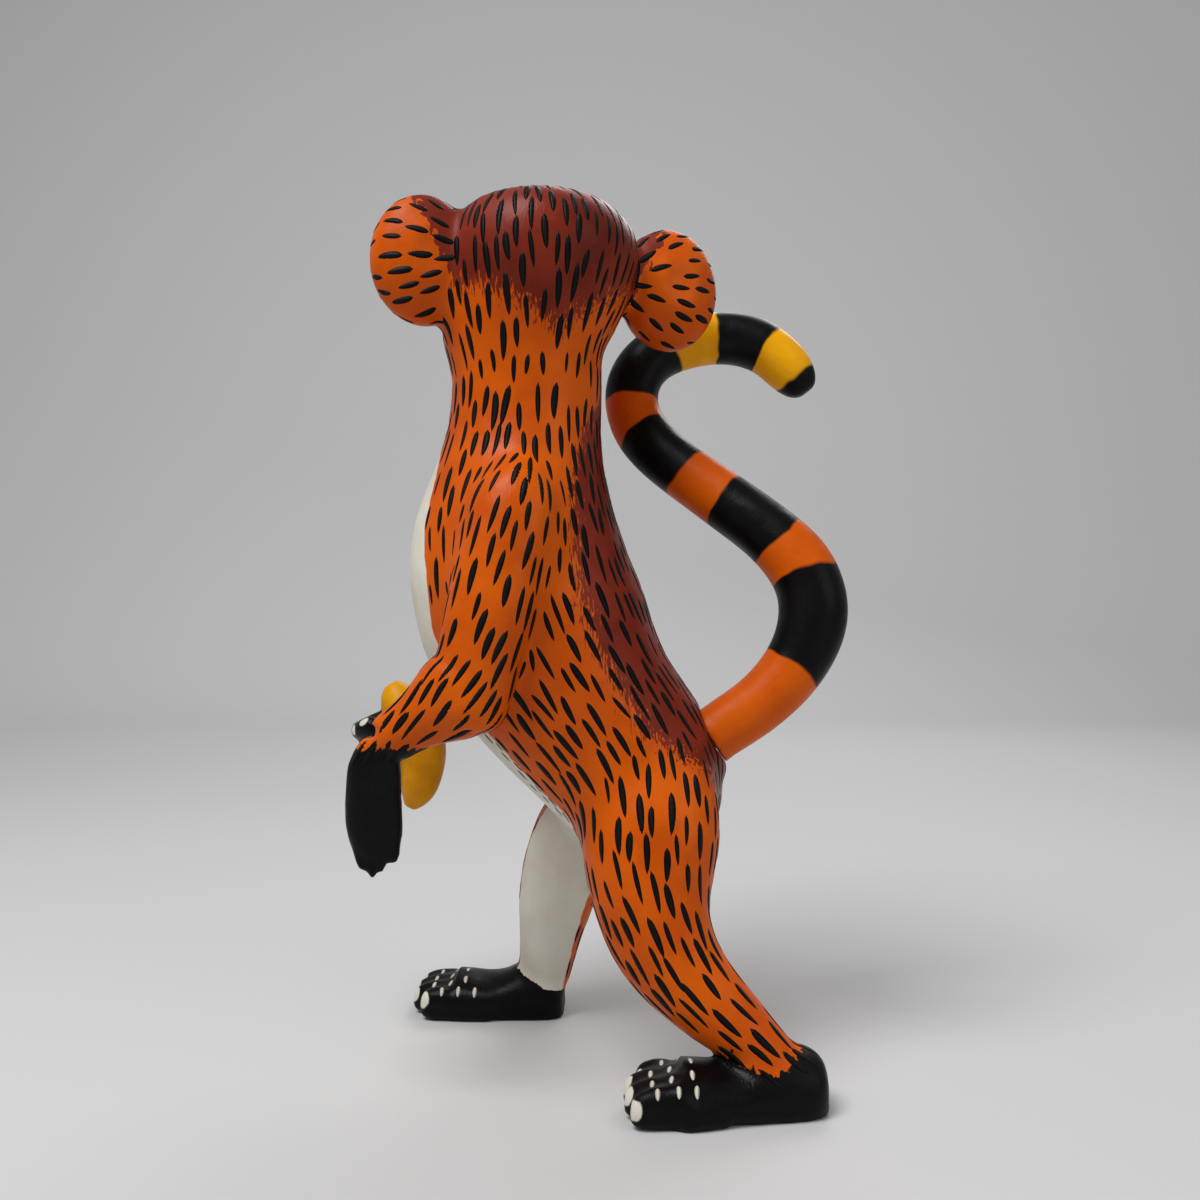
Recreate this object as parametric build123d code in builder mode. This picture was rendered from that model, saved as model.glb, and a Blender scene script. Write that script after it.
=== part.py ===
from build123d import *
import os
from math import cos, radians, sin

os.makedirs("parts", exist_ok=True)

# A carved and painted wooden monkey that walks towards -Y, with its left side at +X.
# Sizes are in millimetres. A share is a fraction of the named size that its table gives.

# Whole figure: the origin is on the ground, in the middle of the figure's outline
figure_height = 296.4
torso_aside = 2.79
torso_forward = 1.40
glue_gap = 0.05
drill_overrun = 0.5

# Torso, whose spine leans from the rump to the chest
torso_width = 70.0
torso_depth = 77.0
torso_lean = 50.0
neck_width = 53.0
neck_dowel_width = 10.0
neck_dowel_length = 40.0

# Head, turned over the right shoulder
head_width = 66.6
head_length = 67.0
head_turn = 109.5
muzzle_width = 38.0
muzzle_height = 27.0
muzzle_length = 34.0
brow_width = 46.0
brow_height = 15.0
brow_length = 20.0
eye_width = 11.5
eye_spacing = 21.0
nose_width = 11.0

# Ears, each on a round peg that is glued in the ear and pulls out of the head
ear_height = 43.0
ear_width = 36.0
ear_thickness = 15.0
ear_spacing = 87.9
ear_lip = 2.6
ear_gap = 0.3
ear_seat_reach = 17.2
ear_lift = 2.4
ear_peg_width = 5.0
ear_peg_length = 11.0
ear_peg_set_back = 1.2

# Arms, let into flat seats in the flanks
shoulder_spacing = 63.0
upper_arm_length = 67.0
forearm_length = 32.0
arm_girth = 29.0
arm_seat_spacing = 58.0
arm_gap = 0.1
arm_dowel_width = 7.0
arm_dowel_length = 20.0
hand_length = 39.0
hand_width = 18.8
hand_thickness = 10.4
finger_width = 4.8
grip_finger_width = 7.0
grip_length = 21.0

# Legs, let into the hips
hip_spacing = 36.0
stance_width = 82.0
stride = 78.5
thigh_depth = 48.0
thigh_width = 36.0
leg_gap = 0.1
hip_dowel_width = 8.0
hip_dowel_length = 30.0
bend_share = 0.4

# Feet
left_foot_length = 62.5
right_foot_length = 57.5
foot_width = 30.0
foot_height = 14.0
toe_width = 8.8
toe_length = 31.0
left_foot_turn = 5.0
right_foot_turn = 3.0

# Tail, whose round peg turns in the rump and slides out of the tail
tail_girth = 23.8
tail_reach = 36.5
tail_rise = 148.0
tail_aside = 45.0
tail_climb = 32.5
tail_seat_gap = 0.4
tail_seat_sink = 1.7
tail_peg_width = 8.0
tail_peg_length = 26.0
peg_clearance = 0.06

# Banana in the right hand, and the peg that pins it to the palm
banana_length = 43.0
banana_girth = 18.0
banana_gap = 0.1
banana_pin_width = 2.4
banana_pin_length = 11.0


def place(aside, back, up):
    """A point measured from the ground below the torso's middle."""
    return Vector(torso_aside + aside, torso_forward + back, up)


def section_plane(centre, along, aside=(1, 0, 0)):
    """The plane of a cross section that is square to the direction along."""
    return Plane(origin=centre, x_dir=aside, z_dir=along)


def tilted(degrees_forward):
    """A direction that leans forward from straight up."""
    return Vector(0, -sin(radians(degrees_forward)), cos(radians(degrees_forward)))


def level_way(degrees):
    """A level direction, turned from straight ahead towards the left."""
    return Vector(sin(radians(degrees)), -cos(radians(degrees)), 0)


def square_to(along):
    """Some direction that is square to along."""
    across = Vector(along).cross(Vector(0, 0, 1))
    return across if across.length > 0 else Vector(1, 0, 0)


def on_line(joints, share):
    """The point at a share of the joints, where 1.5 is half way from the second to the third."""
    first = max(0, min(int(share), len(joints) - 2))
    return joints[first] + (joints[first + 1] - joints[first]) * (share - first)


def on_path(joints, share):
    """The same, but rounding each inner joint, so that a section never crosses the next one."""
    joint = min(max(round(share), 1), len(joints) - 2)
    turn = (share - joint + bend_share) / (2 * bend_share)
    if len(joints) < 3 or not 0 < turn < 1:
        return on_line(joints, share)
    start = on_line(joints, joint - bend_share)
    end = on_line(joints, joint + bend_share)
    return start * (1 - turn) ** 2 + joints[joint] * 2 * turn * (1 - turn) + end * turn**2


def ways_along(points):
    """The direction of travel at each point of a path."""
    last = len(points) - 1
    return [points[min(i + 1, last)] - points[max(i - 1, 0)] for i in range(last + 1)]


def limb(joints, shares, width, depth, growth=0.0, aside=(1, 0, 0)):
    """A loft along joints. A row of shares is the place on the path, half width and half depth."""
    centres = [on_path(joints, row[0]) for row in shares]
    with BuildPart() as form:
        for centre, along, row in zip(centres, ways_along(centres), shares):
            with BuildSketch(section_plane(centre, along, aside)):
                Ellipse(width * row[1] + growth, depth * row[2] + growth)
        loft()
    return form.part


def lump(centre, ahead, width, length, height):
    """A rounded lump: a ball of radius 1 that the three sizes scale."""
    ball = scale(Sphere(1, mode=Mode.PRIVATE), by=(width / 2, length / 2, height / 2), mode=Mode.PRIVATE)
    return Plane(origin=centre, x_dir=ahead.cross(Vector(0, 0, 1)), z_dir=(0, 0, 1)).location * ball


def round_bar(centre, along, width, length):
    """A round bar, centred on a seam: a dowel, or the hole that is drilled for one."""
    with BuildPart() as bar:
        with Locations(section_plane(centre, along, square_to(along))):
            Cylinder(width / 2, length)
    return bar.part


def drilled(centre, along, width, length, clearance):
    """The hole for a dowel, with room round it and at its ends."""
    return round_bar(centre, along, width + 2 * clearance, length + drill_overrun)


# Torso rows: how far back, how high, half width, half depth, and the section's tilt in degrees
torso_shares = [
    (0.414, 0.2280, 0.143, 0.130, 10),
    (0.442, 0.2537, 0.314, 0.266, 25),
    (0.380, 0.3036, 0.429, 0.370, 41),
    (0.062, 0.3745, 0.471, 0.415, 41),
    (-0.250, 0.4426, 0.500, 0.465, 30),
    (-0.484, 0.5216, 0.507, 0.501, 18),
    (-0.566, 0.5853, 0.500, 0.479, 5),
    (-0.566, 0.6612, 0.457, 0.403, 0),
    (-0.524, 0.7193, 0.379, 0.346, -3),
    (-0.504, 0.7601, 0.357, 0.336, -3),
]
neck_centre = place(0, -0.484 * torso_lean, 0.795 * figure_height)
neck_way = Vector(0, 0, 1)

# Head rows: how far back, how high, half width between the ears, half length to the face
head_shares = [
    (-0.490, 0.8475, 0.446, 0.440),
    (-0.448, 0.8823, 0.480, 0.478),
    (-0.414, 0.9173, 0.500, 0.505),
    (-0.400, 0.9494, 0.486, 0.490),
    (-0.408, 0.9737, 0.424, 0.428),
    (-0.408, 0.9899, 0.315, 0.318),
    (-0.408, 1.0000, 0.140, 0.140),
]
face_way = level_way(-(180 - head_turn))
right_ear_way = face_way.cross(Vector(0, 0, 1))
skull_centre = place(0, -0.414 * torso_lean, 0.911 * figure_height)
ear_middle = skull_centre + Vector(0.010, 0.067, 0) * head_length
muzzle_centre = skull_centre + face_way * 0.40 * head_length - Vector(0, 0, 0.42 * muzzle_height)
brow_centre = skull_centre + face_way * 0.34 * head_length + Vector(0, 0, 0.72 * brow_height)
nose_centre = muzzle_centre + face_way * 0.38 * muzzle_length + Vector(0, 0, 0.26 * muzzle_height)

# Ear rows: place through the thickness, and share of the oval
ear_back_shares = [(-0.50, 0.16), (-0.42, 0.58), (-0.22, 0.86), (0.08, 1.00), (0.34, 0.99), (0.50, 0.93)]
ear_hollow_shares = [(-0.20, 0.20), (-0.02, 0.62), (0.24, 0.84), (0.52, 0.96)]

# Arm rows: place from shoulder to elbow or elbow to wrist, half width and half depth
upper_arm_shares = [
    (-0.17, 0.090, 0.090),
    (-0.12, 0.200, 0.220),
    (0.00, 0.345, 0.440),
    (0.30, 0.425, 0.500),
    (0.60, 0.428, 0.490),
    (0.85, 0.397, 0.448),
    (1.00, 0.390, 0.440),
    (1.08, 0.360, 0.400),
    (1.14, 0.250, 0.270),
    (1.16, 0.100, 0.100),
]
forearm_shares = [
    (-0.24, 0.200, 0.200),
    (-0.17, 0.330, 0.370),
    (0.00, 0.385, 0.475),
    (0.30, 0.350, 0.435),
    (0.70, 0.270, 0.300),
    (1.00, 0.214, 0.228),
]
hand_shares = [
    (-0.10, 0.45, 0.34),
    (0.00, 0.53, 0.40),
    (0.15, 0.55, 0.46),
    (0.40, 0.52, 0.48),
    (0.66, 0.46, 0.50),
    (0.84, 0.36, 0.42),
    (0.90, 0.22, 0.34),
]
finger_shares = [
    (0.00, 0.46, 0.46),
    (0.50, 0.50, 0.50),
    (0.86, 0.46, 0.46),
    (0.97, 0.33, 0.33),
    (1.00, 0.12, 0.12),
]
palm_shares = [
    (0.00, 0.12, 0.14),
    (0.06, 0.25, 0.30),
    (0.20, 0.33, 0.46),
    (0.50, 0.37, 0.54),
    (0.80, 0.34, 0.50),
    (0.94, 0.25, 0.36),
    (1.00, 0.12, 0.16),
]

# Leg rows: place from hip to ankle, half width and half depth
left_leg_shares = [
    (-0.20, 0.300, 0.330),
    (0.00, 0.430, 0.448),
    (0.20, 0.480, 0.478),
    (0.40, 0.500, 0.475),
    (0.60, 0.475, 0.435),
    (0.80, 0.440, 0.385),
    (1.00, 0.405, 0.345),
    (1.20, 0.375, 0.306),
    (1.40, 0.352, 0.268),
    (1.60, 0.328, 0.230),
    (1.80, 0.302, 0.194),
    (2.00, 0.272, 0.168),
    (2.12, 0.200, 0.130),
]
right_leg_shares = [
    (-0.20, 0.290, 0.320),
    (0.00, 0.417, 0.440),
    (0.25, 0.420, 0.430),
    (0.50, 0.415, 0.412),
    (0.75, 0.397, 0.378),
    (1.00, 0.375, 0.340),
    (1.25, 0.355, 0.302),
    (1.50, 0.330, 0.262),
    (1.75, 0.295, 0.226),
    (1.95, 0.268, 0.200),
    (2.08, 0.190, 0.150),
]

# Foot rows: place from heel to toe, half width, half height, and height of the centre
foot_shares = [
    (-0.195, 0.260, 0.58, 0.42),
    (-0.160, 0.345, 0.76, 0.45),
    (-0.090, 0.400, 0.90, 0.47),
    (0.030, 0.425, 0.92, 0.46),
    (0.180, 0.450, 0.74, 0.42),
    (0.340, 0.480, 0.64, 0.41),
    (0.520, 0.500, 0.60, 0.42),
]
toe_shares = [
    (0.00, 0.50, 0.50),
    (0.60, 0.50, 0.50),
    (0.88, 0.43, 0.43),
    (0.98, 0.28, 0.28),
    (1.00, 0.12, 0.12),
]

# Tail rows: how far aside, back and up from the seat, and the half width
tail_shares = [
    (0.000, 0.000, 0.000, 0.411),
    (0.000, 0.250, 0.043, 0.416),
    (0.000, 0.478, 0.084, 0.424),
    (0.029, 0.836, 0.183, 0.462),
    (0.057, 0.986, 0.297, 0.500),
    (0.114, 0.881, 0.397, 0.487),
    (0.200, 0.603, 0.477, 0.450),
    (0.314, 0.275, 0.544, 0.437),
    (0.429, -0.061, 0.608, 0.424),
    (0.571, -0.431, 0.685, 0.418),
    (0.743, -0.678, 0.778, 0.418),
    (0.857, -0.694, 0.871, 0.420),
    (0.943, -0.486, 0.947, 0.416),
    (1.000, -0.117, 0.988, 0.410),
    (1.000, 0.300, 0.999, 0.414),
    (0.971, 0.658, 0.974, 0.410),
    (0.943, 0.850, 0.935, 0.395),
    (0.925, 0.990, 0.895, 0.350),
    (0.918, 1.070, 0.868, 0.255),
    (0.915, 1.110, 0.855, 0.110),
]

# Banana rows: forward share of the girth, up share of the length, half width
banana_shares = [
    (0.461, 0.556, 0.100),
    (0.420, 0.525, 0.222),
    (0.360, 0.456, 0.333),
    (0.206, 0.328, 0.444),
    (0.010, 0.177, 0.500),
    (-0.150, -0.020, 0.478),
    (-0.133, -0.195, 0.420),
    (-0.060, -0.335, 0.344),
    (0.028, -0.420, 0.233),
    (0.094, -0.474, 0.120),
]


def ear_dome(centre, shares, width, height, thickness):
    """A dome from the back of an ear to its rim."""
    with BuildPart() as dome:
        for depth_share, oval_share in shares:
            level = centre + face_way * depth_share * thickness
            with BuildSketch(section_plane(level, face_way, right_ear_way)):
                Ellipse(width / 2 * oval_share, height / 2 * oval_share)
        loft()
    return dome.part


# Ears: each is an oval dome, dished in front and cut flat where it sits on the head
ear_seats = {}
ear_pockets = []
for side, outward in (("left", right_ear_way * -1), ("right", right_ear_way)):
    lift = Vector(0, 0, ear_lift / 2) if side == "left" else Vector(0, 0, -ear_lift / 2)
    ear_centre = ear_middle + lift + outward * ear_spacing / 2
    ear_seat = ear_middle + lift + outward * (ear_spacing / 2 - ear_seat_reach)
    peg_middle = ear_seat - face_way * ear_peg_set_back
    ear_seats[side] = (peg_middle, outward)
    seat_plane = section_plane(ear_seat, outward, (0, 0, 1))
    with BuildPart() as ear:
        add(ear_dome(ear_centre, ear_back_shares, ear_width, ear_height, ear_thickness))
        hollow_width = ear_width - 2 * ear_lip
        hollow_height = ear_height - 2 * ear_lip
        hollow = ear_dome(ear_centre, ear_hollow_shares, hollow_width, hollow_height, ear_thickness)
        add(hollow, mode=Mode.SUBTRACT)
        split(bisect_by=seat_plane, keep=Keep.TOP)
        hole = drilled(peg_middle, outward, ear_peg_width, ear_peg_length, glue_gap)
        add(hole, mode=Mode.SUBTRACT)
    with BuildPart() as pocket:
        grown_width = ear_width + 2 * ear_gap
        grown_height = ear_height + 2 * ear_gap
        grown_thickness = ear_thickness + 2 * ear_gap
        add(ear_dome(ear_centre, ear_back_shares, grown_width, grown_height, grown_thickness))
        split(bisect_by=seat_plane, keep=Keep.TOP)
    ear_pockets.append(pocket.part)
    with BuildPart() as ear_peg:
        add(round_bar(peg_middle, outward, ear_peg_width, ear_peg_length))
    ear.part.label = side + "_ear"
    ear_peg.part.label = side + "_ear_peg"
    export_step(ear.part, "parts/" + side + "_ear.step")
    export_step(ear_peg.part, "parts/" + side + "_ear_peg.step")

# Head: skull, muzzle, brow, eyes and nose, with a pocket and a peg hole for each ear
with BuildPart() as head:
    with BuildSketch(section_plane(neck_centre, neck_way, right_ear_way)):
        Ellipse(neck_width / 2, neck_width / 2)
    for back, up, half_width, half_length in head_shares:
        station = place(0, back * torso_lean, up * figure_height)
        with BuildSketch(section_plane(station, neck_way, right_ear_way)):
            Ellipse(half_width * head_width, half_length * head_length)
    loft()
    add(lump(muzzle_centre, face_way, muzzle_width, muzzle_length, muzzle_height))
    add(lump(brow_centre, face_way, brow_width, brow_length, brow_height))
    for eye_side in (-1, 1):
        eye_centre = skull_centre + face_way * 0.43 * head_length
        eye_centre += right_ear_way * eye_side * eye_spacing / 2
        add(lump(eye_centre, face_way, eye_width, eye_width, eye_width))
    add(lump(nose_centre, face_way, nose_width, 0.8 * nose_width, 0.62 * nose_width))
    for pocket_form in ear_pockets:
        add(pocket_form, mode=Mode.SUBTRACT)
    for peg_middle, outward in ear_seats.values():
        add(drilled(peg_middle, outward, ear_peg_width, ear_peg_length, peg_clearance), mode=Mode.SUBTRACT)
    add(drilled(neck_centre, neck_way, neck_dowel_width, neck_dowel_length, glue_gap), mode=Mode.SUBTRACT)

# Arm joints: shoulder, elbow and wrist
left_shoulder = place(shoulder_spacing / 2, -0.52 * torso_lean, 0.651 * figure_height)
left_elbow = left_shoulder + Vector(0.128, -0.216, -0.972) * upper_arm_length
left_wrist = left_elbow + Vector(-0.156, -0.871, -0.467) * forearm_length
right_shoulder = place(-shoulder_spacing / 2, -0.52 * torso_lean, 0.651 * figure_height)
right_elbow = right_shoulder + Vector(-0.131, -0.155, -0.940) * upper_arm_length
right_wrist = right_elbow + Vector(0.335, -0.934, -0.406) * forearm_length
left_socket = place(arm_seat_spacing / 2, -0.54 * torso_lean, 0.624 * figure_height)
right_socket = place(-arm_seat_spacing / 2, -0.54 * torso_lean, 0.624 * figure_height)
sideways = Vector(1, 0, 0)


def arm_form(joints, growth):
    """An arm without its hand, cut flat where it sits on the flank, or its grown recess."""
    shoulder, elbow, wrist = joints
    inner_elbow = elbow + Vector(0, -0.035, 0.085) * arm_girth
    with BuildPart() as form:
        add(limb([shoulder, elbow], upper_arm_shares, arm_girth, arm_girth, growth))
        add(limb([inner_elbow, wrist], forearm_shares, arm_girth, arm_girth, growth))
        seat_height = upper_arm_length + arm_girth
        seat_middle = place(0, -0.52 * torso_lean, elbow.Z + 0.1 * upper_arm_length + seat_height / 2)
        with Locations(seat_middle):
            Box(arm_seat_spacing, torso_depth, seat_height, mode=Mode.SUBTRACT)
    return form.part


# Left arm, with a hand that hangs from the wrist: four fingers side by side, a thumb inside
hand_top = left_wrist + Vector(0, -0.075, -0.05) * hand_length
hand_end = hand_top + Vector(-0.03, -0.02, -1) * hand_length
with BuildPart() as left_arm:
    add(arm_form([left_shoulder, left_elbow, left_wrist], 0))
    add(limb([hand_top, hand_end], hand_shares, hand_thickness, hand_width))
    for finger, reach_share in enumerate((0.99, 1.05, 1.00, 0.92)):
        across = Vector(0, (finger - 1.5) * 0.92 * finger_width, 0)
        root = on_path([hand_top, hand_end], 0.62) + across
        tip = on_path([hand_top, hand_end], reach_share) + across * 0.9
        add(limb([root, tip], finger_shares, finger_width, finger_width))
    thumb_root = on_path([hand_top, hand_end], 0.2) - Vector(0.35 * hand_thickness, 0.2 * hand_width, 0)
    thumb_tip = on_path([hand_top, hand_end], 0.62) - Vector(0.45 * hand_thickness, 0.42 * hand_width, 0)
    add(limb([thumb_root, thumb_tip], finger_shares, finger_width, finger_width))
    add(drilled(left_socket, sideways, arm_dowel_width, arm_dowel_length, glue_gap), mode=Mode.SUBTRACT)

# Banana: a bent, blunt-ended form whose middle lies beside the right palm
banana_centre = right_wrist + Vector(0.72, 0, -0.60) * grip_length


def banana_form(growth):
    """The banana, or the grown form of the hollow that holds it."""
    points = [
        banana_centre + Vector(0, -forward * banana_girth, up * banana_length)
        for forward, up, _ in banana_shares
    ]
    with BuildPart() as form:
        for point, along, row in zip(points, ways_along(points), banana_shares):
            with BuildSketch(section_plane(point, along)):
                Circle(row[2] * banana_girth + growth)
        loft()
    return form.part


pin_centre = banana_centre + Vector(-0.5 * banana_girth, 0.12 * banana_girth, 0.06 * banana_length)
with BuildPart() as banana:
    add(banana_form(0))
    add(drilled(pin_centre, sideways, banana_pin_width, banana_pin_length, glue_gap), mode=Mode.SUBTRACT)
with BuildPart() as banana_pin:
    add(round_bar(pin_centre, sideways, banana_pin_width, banana_pin_length))

# Right arm, with a palm beside the banana, four fingers round its front and a thumb behind
grip_up = tilted(24)
grip_forward = grip_up.cross(Vector(-1, 0, 0))
grip_top = banana_centre + Vector(0, -0.20, 0.65) * grip_length + grip_forward * 0.20 * grip_length
grip_reach = banana_girth / 2 + 0.40 * grip_finger_width
palm_top = right_wrist + Vector(0, -0.10, 0.22) * grip_length
palm_end = right_wrist + Vector(0.03, -0.52, -0.98) * grip_length


def grip_finger(middle, sweep):
    """A finger that curls round middle through sweep degrees, with a rounded tip."""
    tip_way = grip_forward * sin(radians(sweep)) - sideways * cos(radians(sweep))
    with BuildPart() as form:
        with BuildSketch(Plane(origin=middle, x_dir=-sideways, z_dir=grip_forward)):
            with Locations((grip_reach, 0)):
                Circle(grip_finger_width / 2)
        revolve(axis=Axis(middle, grip_up), revolution_arc=sweep)
        with Locations(middle + tip_way * grip_reach):
            Sphere(grip_finger_width / 2)
    return form.part


with BuildPart() as right_arm:
    add(arm_form([right_shoulder, right_elbow, right_wrist], 0))
    add(limb([palm_top, palm_end], palm_shares, grip_length, grip_length))
    for finger, sweep in enumerate((150, 112, 96, 84)):
        add(grip_finger(grip_top - grip_up * 0.95 * finger * grip_finger_width, sweep))
    add(banana_form(banana_gap), mode=Mode.SUBTRACT)
    add(drilled(pin_centre, sideways, banana_pin_width, banana_pin_length, glue_gap), mode=Mode.SUBTRACT)
    add(drilled(right_socket, sideways, arm_dowel_width, arm_dowel_length, glue_gap), mode=Mode.SUBTRACT)

# Leg joints: hip, knee and ankle
left_hip = place(hip_spacing / 2, 0.33 * torso_lean, 0.337 * figure_height)
left_knee = place(0.386 * stance_width, 0.205 * stride, 0.163 * figure_height)
left_ankle = place(0.480 * stance_width, 0.731 * stride, 0.80 * foot_height)
right_hip = place(-hip_spacing / 2, 0.30 * torso_lean, 0.331 * figure_height)
right_knee = place(-0.435 * stance_width, -0.185 * stride, 0.203 * figure_height)
right_ankle = place(-0.561 * stance_width, -0.274 * stride, 0.86 * foot_height)
left_thigh_way = left_knee - left_hip
right_thigh_way = right_knee - right_hip


def foot(ankle, way, length, heel_share, toe_reach_shares):
    """A foot: heel, instep and four toes side by side, before its sole is cut flat."""
    aside = way.cross(Vector(0, 0, 1))
    heel = Vector(ankle.X, ankle.Y, 0) - way * heel_share * length
    with BuildPart() as form:
        for along, half_width, half_height, up in foot_shares:
            centre = heel + way * along * length + Vector(0, 0, up * foot_height)
            with BuildSketch(section_plane(centre, way, aside)):
                Ellipse(half_width * foot_width, half_height * foot_height)
        loft()
        for toe, reach_share in enumerate(toe_reach_shares):
            across = aside * (toe - 1.5) * 0.245 * foot_width + Vector(0, 0, 0.46 * toe_width)
            root = heel + way * (0.82 * length - toe_length) + across * 0.9
            tip = heel + way * 0.82 * length * reach_share + across
            add(limb([root, tip], toe_shares, toe_width, toe_width, 0, aside))
    return form.part


# Legs: each is a thigh, shin and foot in one piece, with a flat sole
with BuildPart() as left_leg:
    add(limb([left_hip, left_knee, left_ankle], left_leg_shares, thigh_width, thigh_depth))
    add(foot(left_ankle, level_way(left_foot_turn), left_foot_length, 0.006, (0.98, 1.00, 0.99, 0.90)))
    split(bisect_by=Plane.XY, keep=Keep.TOP)
    hip_hole = drilled(left_hip, left_thigh_way, hip_dowel_width, hip_dowel_length, glue_gap)
    add(hip_hole, mode=Mode.SUBTRACT)
with BuildPart() as right_leg:
    add(limb([right_hip, right_knee, right_ankle], right_leg_shares, thigh_width, thigh_depth))
    add(foot(right_ankle, level_way(-right_foot_turn), right_foot_length, -0.06, (0.90, 0.99, 1.00, 0.98)))
    split(bisect_by=Plane.XY, keep=Keep.TOP)
    hip_hole = drilled(right_hip, right_thigh_way, hip_dowel_width, hip_dowel_length, glue_gap)
    add(hip_hole, mode=Mode.SUBTRACT)

# Tail, whose base stands in a shallow round seat in the rump
tail_way = Vector(0, cos(radians(tail_climb)), sin(radians(tail_climb)))
tail_root = place(0, 0.308 * torso_lean, 0.324 * figure_height)
tail_seat = tail_root + tail_way * (0.370 * torso_depth - tail_seat_sink)
with BuildPart() as tail:
    points = [
        tail_seat + Vector(-aside * tail_aside, back * tail_reach, up * tail_rise)
        for aside, back, up, _ in tail_shares
    ]
    tail_ways = ways_along(points)
    tail_ways[0] = tail_way
    for point, along, row in zip(points, tail_ways, tail_shares):
        with BuildSketch(section_plane(point, along)):
            Circle(row[3] * tail_girth)
    loft()
    add(drilled(tail_seat, tail_way, tail_peg_width, tail_peg_length, peg_clearance), mode=Mode.SUBTRACT)
with BuildPart() as tail_dowel:
    add(round_bar(tail_seat, tail_way, tail_peg_width, tail_peg_length))

# Torso: rump, chest and neck, with the recesses and holes for all that is fixed to it
with BuildPart() as torso:
    for back, up, half_width, half_depth, tilt in torso_shares:
        station = place(0, back * torso_lean, up * figure_height)
        with BuildSketch(section_plane(station, tilted(tilt))):
            Ellipse(half_width * torso_width, half_depth * torso_depth)
    with BuildSketch(section_plane(neck_centre, neck_way)):
        Ellipse(neck_width / 2, neck_width / 2)
    loft()
    add(arm_form([left_shoulder, left_elbow, left_wrist], arm_gap), mode=Mode.SUBTRACT)
    add(arm_form([right_shoulder, right_elbow, right_wrist], arm_gap), mode=Mode.SUBTRACT)
    left_joints = [left_hip, left_knee, left_ankle]
    right_joints = [right_hip, right_knee, right_ankle]
    left_recess = limb(left_joints, left_leg_shares, thigh_width, thigh_depth, leg_gap)
    right_recess = limb(right_joints, right_leg_shares, thigh_width, thigh_depth, leg_gap)
    add(left_recess, mode=Mode.SUBTRACT)
    add(right_recess, mode=Mode.SUBTRACT)
    seat_width = 2 * (tail_shares[0][3] * tail_girth + tail_seat_gap)
    seat_middle = tail_seat + tail_way * seat_width / 2
    add(round_bar(seat_middle, tail_way, seat_width, seat_width), mode=Mode.SUBTRACT)
    add(drilled(tail_seat, tail_way, tail_peg_width, tail_peg_length, peg_clearance), mode=Mode.SUBTRACT)
    add(drilled(neck_centre, neck_way, neck_dowel_width, neck_dowel_length, glue_gap), mode=Mode.SUBTRACT)
    for socket in (left_socket, right_socket):
        add(drilled(socket, sideways, arm_dowel_width, arm_dowel_length, glue_gap), mode=Mode.SUBTRACT)
    for hip, thigh_way in ((left_hip, left_thigh_way), (right_hip, right_thigh_way)):
        add(drilled(hip, thigh_way, hip_dowel_width, hip_dowel_length, glue_gap), mode=Mode.SUBTRACT)

# Glued dowels
with BuildPart() as neck_dowel:
    add(round_bar(neck_centre, neck_way, neck_dowel_width, neck_dowel_length))
with BuildPart() as left_shoulder_dowel:
    add(round_bar(left_socket, sideways, arm_dowel_width, arm_dowel_length))
with BuildPart() as right_shoulder_dowel:
    add(round_bar(right_socket, sideways, arm_dowel_width, arm_dowel_length))
with BuildPart() as left_hip_dowel:
    add(round_bar(left_hip, left_thigh_way, hip_dowel_width, hip_dowel_length))
with BuildPart() as right_hip_dowel:
    add(round_bar(right_hip, right_thigh_way, hip_dowel_width, hip_dowel_length))

pieces = {
    "torso": torso,
    "head": head,
    "left_arm": left_arm,
    "right_arm": right_arm,
    "left_leg": left_leg,
    "right_leg": right_leg,
    "tail": tail,
    "banana": banana,
    "neck_dowel": neck_dowel,
    "left_shoulder_dowel": left_shoulder_dowel,
    "right_shoulder_dowel": right_shoulder_dowel,
    "left_hip_dowel": left_hip_dowel,
    "right_hip_dowel": right_hip_dowel,
    "tail_dowel": tail_dowel,
    "banana_pin": banana_pin,
}
for name, piece in pieces.items():
    piece.part.label = name
    export_step(piece.part, "parts/" + name + ".step")
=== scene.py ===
import math

import bmesh
import bpy
import numpy as np
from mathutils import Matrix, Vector, noise
from mathutils.bvhtree import BVHTree


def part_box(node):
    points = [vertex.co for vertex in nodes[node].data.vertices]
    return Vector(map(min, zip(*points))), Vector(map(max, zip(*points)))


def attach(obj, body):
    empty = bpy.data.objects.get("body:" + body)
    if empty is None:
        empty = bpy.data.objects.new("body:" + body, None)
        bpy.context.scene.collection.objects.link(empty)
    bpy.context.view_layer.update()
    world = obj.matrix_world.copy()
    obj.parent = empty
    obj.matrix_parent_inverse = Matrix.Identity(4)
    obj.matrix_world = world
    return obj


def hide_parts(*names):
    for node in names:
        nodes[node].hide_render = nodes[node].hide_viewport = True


# A carved wooden monkey in satin acrylic paint: orange with black fur strokes, a red-brown cap and
# back, a white belly, black hands and feet and a banded tail. Lengths are in metres.
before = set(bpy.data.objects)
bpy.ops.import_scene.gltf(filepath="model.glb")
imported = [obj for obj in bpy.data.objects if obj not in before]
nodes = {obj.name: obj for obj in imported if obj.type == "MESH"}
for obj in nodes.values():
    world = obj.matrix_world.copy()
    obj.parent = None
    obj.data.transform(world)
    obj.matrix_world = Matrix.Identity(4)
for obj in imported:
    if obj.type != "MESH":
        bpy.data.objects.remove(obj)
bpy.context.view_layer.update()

# The figure's own sizes, from the ground below the torso's middle
figure_height = 0.2964
torso_aside = 0.00279
torso_forward = 0.0014
torso_lean = 0.050
head_turn = math.radians(109.5)
tail_climb = math.radians(32.5)
tail_reach = 0.0365
tail_rise = 0.148
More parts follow.
